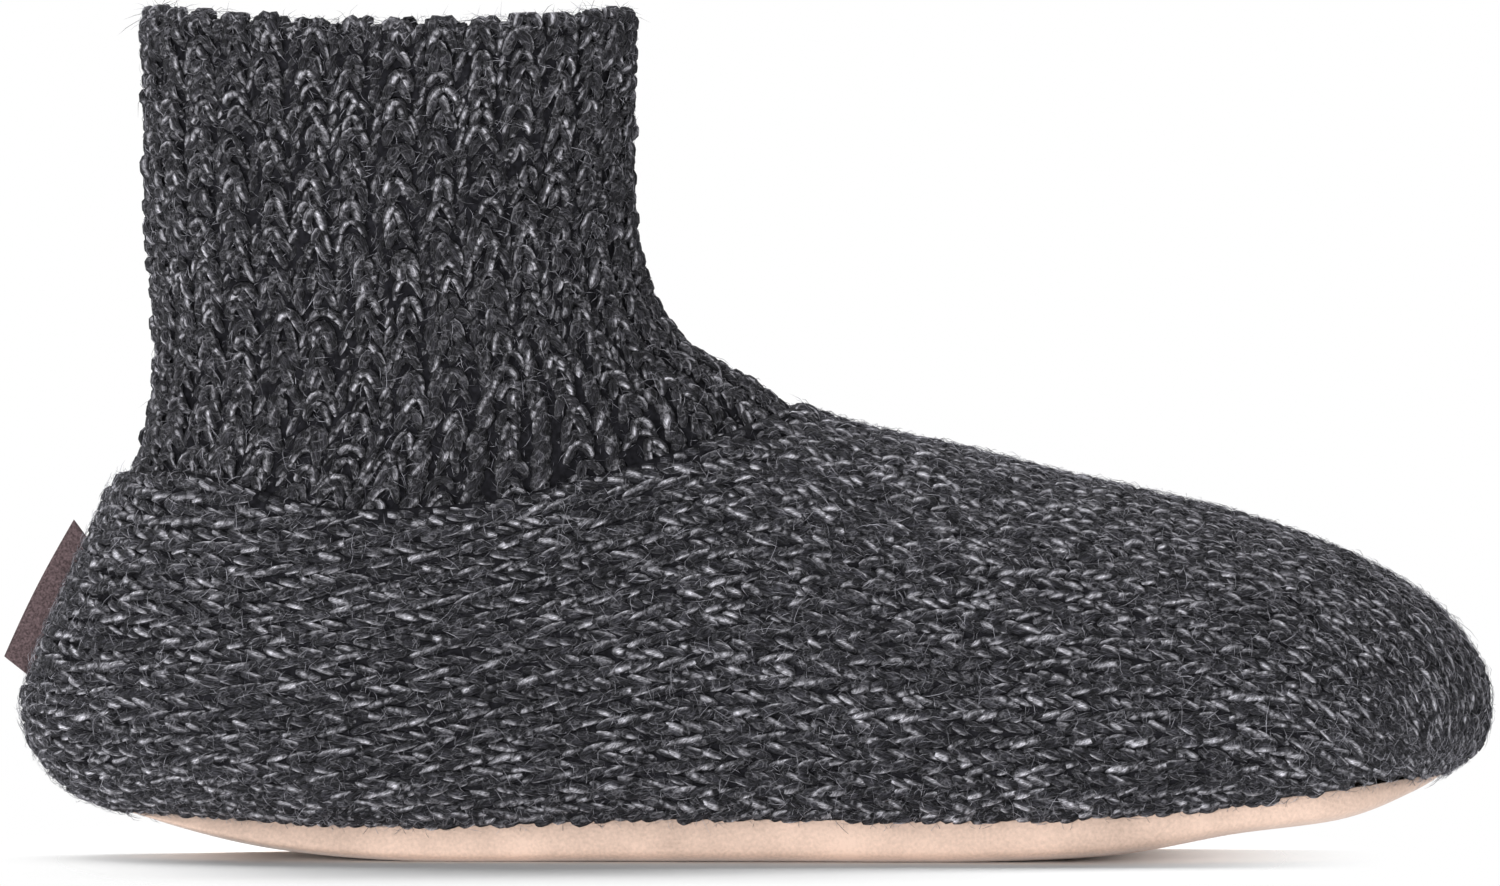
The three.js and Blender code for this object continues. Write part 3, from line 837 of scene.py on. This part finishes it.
charcoal_rib = yarn_wool(
    "charcoal_rib",
    dark=(0.008, 0.0078, 0.0093),
    base=(0.0236, 0.023, 0.0274),
    grey=(0.069, 0.0675, 0.0795),
    light=(0.73, 0.72, 0.785),
    seed=5,
    breaks=1.0,
)


def rib_angles(places):
    """Angles round the shaft for places counted in ribs, equal shares of the girth from the front."""
    angles = np.linspace(0, 2 * math.pi, 721)
    girth = lengths(last_point(ROW["cuff"], angles))
    return np.interp(np.asarray(places) % RIB_COUNT / RIB_COUNT * girth[-1], girth, angles)


def shaft_grid(courses):
    """Points up the outside of the shaft, over the rim and down the inside, at each course and quarter
    rib, and the directions that point out of it there."""
    places = np.arange((RIB_COUNT + 1) * RIB_FINENESS + 1) / RIB_FINENESS - 0.5
    angles = rib_angles(places)
    down = np.linspace(1, 0, 90)
    rows = down[:, None] * (seam_row(angles) + TUCK_ROWS)
    around = np.broadcast_to(angles, rows.shape)
    rise = COLLAR_RISE * (np.cos(angles) ** 2 - COLLAR_CORNER * np.cos(angles) ** CORNER_POWER)
    fade = np.clip(1 - down / RISE_FADE, 0, 1)[:, None] * rise
    outside = skin(rows, around, np.full(rows.shape, -SHAFT_SINK))[0]
    outside[..., 2] += fade
    inside = skin(rows, around, np.full(rows.shape, -SHAFT_SINK - SHAFT_WALL))[0]
    inside[..., 2] += fade
    turn = np.linspace(0, math.pi, 13)[1:-1]
    middle = (outside[-1] + inside[-1]) / 2
    reach = (outside[-1] - inside[-1]) / 2
    rim = middle + reach * np.cos(turn)[:, None, None]
    rim[..., 2] += SHAFT_WALL / 2 * np.sin(turn)[:, None]
    over = np.concatenate([outside[-1:], rim, inside[-1:]])
    pieces = []
    for stretch, steps in ((outside, courses), (over, RIM_COURSES), (inside[::-1], courses)):
        length = lengths(np.swapaxes(stretch, 0, 1))
        at = np.linspace(0, 1, steps + 1)[1 if pieces else 0:]
        columns = []
        for c in range(stretch.shape[1]):
            places = at * length[c, -1]
            column = [np.interp(places, length[c], stretch[:, c, axis]) for axis in range(3)]
            columns.append(np.stack(column, axis=-1))
        pieces.append(np.stack(columns, axis=1))
    grid = np.concatenate(pieces)
    along = np.gradient(grid, axis=0)
    around = np.gradient(grid, axis=1)
    return grid, unit(np.cross(around, along))


rib_grid, rib_normals = shaft_grid(SHAFT_COURSES)
rib_pitch = np.linalg.norm(np.gradient(rib_grid, axis=1), axis=-1, keepdims=True) * RIB_FINENESS
rng = np.random.default_rng(SHAFT_SEED)
outer_courses = SHAFT_COURSES + RIM_COURSES
inner_end = rib_grid.shape[0] - 2
for part, first, last, sides, taper in (
    ("outside", 0, outer_courses, 5, LOOP_TAPER),
    ("inside", outer_courses, inner_end, 4, LOOP_TAPER[::2]),
):
    courses, ribs = np.meshgrid(np.arange(first, last), np.arange(RIB_COUNT), indexing="ij")
    course, rib = courses.ravel(), ribs.ravel()
    i = course + 0.5
    j = (rib + 0.5) * RIB_FINENESS
    spread = np.clip(RIB_PITCH / on_grid(rib_pitch, i, j), LEAST_SPREAD, MOST_SPREAD)
    paths, outs = knit_legs(
        rib_grid, rib_normals, i, j, RIB_LOOP, rng, RIB_FINENESS * spread, len(taper), RIB_UNEVEN,
    )
    tone = rng.random(len(paths))
    full = (1 + LEG_SWELL * rng.standard_normal((len(paths), 1))) * taper
    rib_yarn = yarn_tubes(
        f"shaft_ribs_{part}", paths, outs, RIB_YARN_WIDE * full, RIB_YARN_THICK * full, tone,
        charcoal_rib, sides,
    )
    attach(rib_yarn, "root")

# The sunk columns, which rise and widen where the ribs are spread.
courses, ribs = np.meshgrid(np.arange(outer_courses), np.arange(1, RIB_COUNT + 1), indexing="ij")
i = courses.ravel() + 0.5
j = ribs.ravel() * float(RIB_FINENESS)
paths, outs = knit_legs(rib_grid, rib_normals, i, j, GROOVE_LEG, rng, RIB_FINENESS, LEG_STEPS)
spread = np.clip((on_grid(rib_pitch, i, j) - RIB_PITCH) / (SPREAD_PITCH - RIB_PITCH), 0, 1)
paths = paths + outs * (GROOVE_RISE * spread)[..., None]
full = (1 + GROOVE_SWELL * spread) * LEG_TAPER
purls = yarn_tubes(
    "shaft_purls", paths, outs, GROOVE_WIDE * full, GROOVE_THICK * full, rng.random(len(paths)),
    charcoal_rib, 4,
)
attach(purls, "root")

for length, (reach, lift, rings) in FUZZ.items():
    count = SHAFT_FIBRES[length]
    i = 1 + rng.random(count) * outer_courses
    rib = rng.integers(RIB_COUNT, size=count) + 0.5
    j = (rib + FUZZ_SPREAD * rng.standard_normal(count)) * RIB_FINENESS
    fuzz = wool_fibres(
        f"shaft_fuzz_{length}", rib_grid, rib_normals, i, j, reach, lift, rings, rng, loose_fibre,
    )
    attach(fuzz, "root")

# The wall behind the stitches, bent in and out with the ribs.
rib_turn = 2 * math.pi * np.arange(rib_grid.shape[1]) / RIB_FINENESS
ripple = WALL_RIPPLE * 0.5 * (1 + np.cos(rib_turn))
wall = rib_grid - rib_normals * (WALL_DEPTH + ripple)[None, :, None]
wall = wall[:, : RIB_COUNT * RIB_FINENESS]
shaft_backing = mesh_piece(
    "shaft_backing", wall.reshape(-1, 3),
    sheet_faces(wall.shape[0], wall.shape[1], closed_rows=True, closed_columns=True), knit_backing,
)
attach(shaft_backing, "root")
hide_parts("shaft")


# The suede sole
# One piece of pale tan split leather, napped on the outside and turned up all round as a shallow dish.
# Its edge is sewn under the knit at the feather line, and it lies flat on the floor from heel to ball.

SOLE_INSET = 1.2
SOLE_WALL = 2.2
SOLE_SQUARENESS = 8
SOLE_TUCK = 1.2
PATCH_SCALE = 60
NAP_SCALE = 1500
NAP_SHARE = 0.6
NAP_DARK, NAP_LIGHT = 0.74, 1.16


def suede(name, colour):
    """Suede: a short uneven nap, with soft lighter and darker patches where it has been brushed."""
    material, nodes, link, shader = new_finish(name, 0.95, 0.15)
    shader.inputs["Sheen Weight"].default_value = 0.3
    shader.inputs["Sheen Roughness"].default_value = 0.4
    place = nodes.new("ShaderNodeTexCoord")
    patches = nodes.new("ShaderNodeTexNoise")
    patches.inputs["Scale"].default_value = PATCH_SCALE
    patches.inputs["Detail"].default_value = 4
    nap = nodes.new("ShaderNodeTexNoise")
    nap.inputs["Scale"].default_value = NAP_SCALE
    nap.inputs["Detail"].default_value = 4
    both = nodes.new("ShaderNodeMath")
    both.operation = "MULTIPLY_ADD"
    both.inputs[1].default_value = NAP_SHARE
    darker = tuple(NAP_DARK * c for c in colour)
    lighter = tuple(NAP_LIGHT * c for c in colour)
    tones = tone_ramp(nodes, (0.5, darker), (1.0, lighter))
    bump = nodes.new("ShaderNodeBump")
    bump.inputs["Strength"].default_value = 0.5
    bump.inputs["Distance"].default_value = 0.0003
    for texture in (patches, nap):
        link(place.outputs["Object"], texture.inputs["Vector"])
    link(nap.outputs["Fac"], both.inputs[0])
    link(patches.outputs["Fac"], both.inputs[2])
    link(both.outputs[0], tones.inputs["Fac"])
    link(tones.outputs["Color"], shader.inputs["Base Color"])
    link(nap.outputs["Fac"], bump.inputs["Height"])
    link(bump.outputs["Normal"], shader.inputs["Normal"])
    return material


def dish(inset, floor, lift, rows=110, columns=41):
    """A sheet of points for a shallow box with round corners, heel to toe: as wide as the last at the
    feather line, as deep as its underside, and flattened where it would lie below a floor."""
    heel_end, toe_end = feather_rows(lift, inset)
    share = 0.5 - 0.5 * np.cos(math.pi * np.linspace(0, 1, rows))
    row = heel_end + (toe_end - heel_end) * share
    angle = feather_angle(row, lift, inset)
    inner = skin(row, angle, -inset)[0]
    outer = skin(row, -angle, -inset)[0]
    middle = (inner + outer) / 2
    across = inner - middle
    down = skin(row, math.pi, -inset)[0] - middle
    turn = np.linspace(0, math.pi, columns)
    beside = np.sign(np.cos(turn)) * np.abs(np.cos(turn)) ** (2 / SOLE_SQUARENESS)
    below = np.abs(np.sin(turn)) ** (2 / SOLE_SQUARENESS)
    points = middle[:, None] + across[:, None] * beside[:, None] + down[:, None] * below[:, None]
    points[..., 2] = np.maximum(points[..., 2], floor)
    return points


tan_suede = suede("tan_suede", (0.67, 0.5, 0.41))
under = dish(SOLE_INSET, 0.0, SOLE_TUCK)
over = dish(SOLE_INSET + SOLE_WALL, SOLE_WALL, SOLE_TUCK)
sole = mesh_piece("suede_sole", *slab(under, over), tan_suede)
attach(sole, "root")
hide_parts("sole")


# The insole
# A soft pad under a dark brushed lining, loose in the dish of the sole and only seen down the shaft.

INSOLE_GAP = 0.3
INSOLE_DROP = 0.6
INSOLE_CROWN = 0.8

dark_fleece = shaded_cloth("dark_fleece", (0.03, 0.026, 0.027))
pad_under = dish(SOLE_INSET + SOLE_WALL + INSOLE_GAP, SOLE_WALL + INSOLE_GAP, -INSOLE_DROP)
pad_top = pad_under.copy()
across = np.linspace(-1, 1, pad_under.shape[1])
pad_top[..., 2] = feather_height(pad_under[..., 0]) - INSOLE_DROP - INSOLE_CROWN * across ** 4
insole = mesh_piece("insole_pad", *slab(pad_under, pad_top), dark_fleece)
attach(insole, "root")
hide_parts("insole")


# The heel label
# A strip of brown woven tape folded in half along its length, with both edges caught in the seam at the
# back of the heel.

LABEL_TOP = np.array([-129.3, 0.0, 64.4])
LABEL_LENGTH = 29.4
LABEL_DEPTH = 9.0
LABEL_THICK = 1.1
LABEL_LEAN = math.radians(27)
TAPE_THICK = 0.42
LABEL_FOLD = 0.09
LABEL_CUT = 0.5
LABEL_TAIL = 0.2
LABEL_BOW = 0.5

label_tape = shaded_cloth("label_tape", (0.11, 0.078, 0.082), 2200)
down = np.array([-math.sin(LABEL_LEAN), 0, -math.cos(LABEL_LEAN)])
inward = np.array([math.cos(LABEL_LEAN), 0, -math.sin(LABEL_LEAN)])
length = np.linspace(0, LABEL_LENGTH, 30)
fold = np.linspace(-1, 1, 41)
open_share = np.sqrt(np.minimum(1, np.abs(fold) / LABEL_FOLD)) * np.sign(fold)
layers = []
for inset in (0.0, TAPE_THICK):
    depth = inset + (LABEL_DEPTH - inset) * np.abs(fold)
    spread = (LABEL_THICK / 2 - inset) * open_share
    first = LABEL_CUT * depth
    last = LABEL_LENGTH + LABEL_TAIL * depth
    along = first + np.outer(length / LABEL_LENGTH, last - first)
    outward = LABEL_BOW * np.sin(math.pi * length / LABEL_LENGTH)
    points = LABEL_TOP + down * along[..., None] + inward * (depth - outward[:, None])[..., None]
    layers.append(points + np.array([0, 1, 0]) * spread[:, None])
label = mesh_piece("heel_label_tape", *slab(*layers), label_tape)
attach(label, "root")
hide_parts("heel_label")


# The studio
# A plain white floor that fades out into a white ground, and three soft lights: a broad one above and
# behind, a small one overhead and a low one in front. The camera stands far off, just above the collar.

IMAGE_WIDTH = 1500
PIXEL_MM = 0.1912
CAMERA_DISTANCE = 6.0
CAMERA_HEIGHT = 0.185
FRAME_CENTRE = (0.0, 0.0, 79.0)
FLOOR_HALF = 400.0
FLOOR_FADE = (0.55, 1.0)
FLOOR_SHOWN = (138.0, 350.0)
FLOOR_MIDDLE = -15.0
GROUND_TOP = 0.1
DIM_FROM = 0.3
DIM = 0.05

scene = bpy.context.scene
scene.view_settings.view_transform = "Standard"
white = bpy.data.worlds.new("white_studio")
white.use_nodes = True
ground_nodes = white.node_tree.nodes
ground_link = white.node_tree.links.new
direction = ground_nodes.new("ShaderNodeTexCoord")
parts = ground_nodes.new("ShaderNodeSeparateXYZ")
strength = ground_nodes.new("ShaderNodeMapRange")
for name, value in (("From Min", GROUND_TOP), ("From Max", DIM_FROM), ("To Min", 1.0), ("To Max", DIM)):
    strength.inputs[name].default_value = value
ground_nodes["Background"].inputs["Color"].default_value = (1, 1, 1, 1)
ground_link(direction.outputs["Generated"], parts.inputs[0])
ground_link(parts.outputs["Z"], strength.inputs["Value"])
ground_link(strength.outputs["Result"], ground_nodes["Background"].inputs["Strength"])
scene.world = white

paper, paper_nodes, paper_link, paper_shader = new_finish("white_paper", 1.0, 0.0)
paper_shader.inputs["Base Color"].default_value = (0.97, 0.97, 0.97, 1)
paper_place = paper_nodes.new("ShaderNodeTexCoord")
from_middle = paper_nodes.new("ShaderNodeMapping")
from_middle.inputs["Location"].default_value = (-FLOOR_MIDDLE / FLOOR_SHOWN[0], 0, 0)
from_middle.inputs["Scale"].default_value = (1 / (MM * FLOOR_SHOWN[0]), 1 / (MM * FLOOR_SHOWN[1]), 0)
off_middle = paper_nodes.new("ShaderNodeVectorMath")
off_middle.operation = "LENGTH"
fade = paper_nodes.new("ShaderNodeMapRange")
fade.interpolation_type = "SMOOTHSTEP"
for name, value in (
    ("From Min", FLOOR_FADE[0]), ("From Max", FLOOR_FADE[1]), ("To Min", 1.0), ("To Max", 0.0),
):
    fade.inputs[name].default_value = value
paper_link(paper_place.outputs["Object"], from_middle.inputs["Vector"])
paper_link(from_middle.outputs["Vector"], off_middle.inputs[0])
paper_link(off_middle.outputs["Value"], fade.inputs["Value"])
paper_link(fade.outputs["Result"], paper_shader.inputs["Alpha"])
floor = mesh_piece(
    "floor",
    np.array([(-1, -1, 0), (1, -1, 0), (1, 1, 0), (-1, 1, 0)]) * FLOOR_HALF,
    np.array([(0, 1, 2, 3)]),
    paper,
)


def soft_light(name, place, target, size, power):
    """A soft box that faces a target, with places and sizes in metres and power in watts."""
    data = bpy.data.lights.new(name, "AREA")
    data.shape = "RECTANGLE"
    data.size, data.size_y = size
    data.energy = power
    light = bpy.data.objects.new(name, data)
    light.location = place
    light.rotation_euler = (Vector(target) - Vector(place)).to_track_quat("-Z", "Y").to_euler()
    scene.collection.objects.link(light)


soft_light("back_box", place=(-0.25, 1.1, 1.5), target=(0, 0, 0), size=(1.6, 0.7), power=50)
soft_light("top_box", place=(-0.1, 0.1, 1.8), target=(0, 0, 0), size=(0.7, 0.6), power=4)
soft_light("front_box", place=(-0.45, -1.7, 0.14), target=(0, 0, 0.06), size=(1.6, 0.26), power=30)

camera = bpy.data.cameras.new("camera")
camera.sensor_width = 36
view_width = IMAGE_WIDTH * PIXEL_MM * MM
camera.lens = camera.sensor_width * CAMERA_DISTANCE / view_width
eye = bpy.data.objects.new("camera", camera)
target = Vector(FRAME_CENTRE) * MM
eye.location = (0, -CAMERA_DISTANCE, CAMERA_HEIGHT)
eye.rotation_euler = (target - eye.location).to_track_quat("-Z", "Y").to_euler()
scene.collection.objects.link(eye)
scene.camera = eye
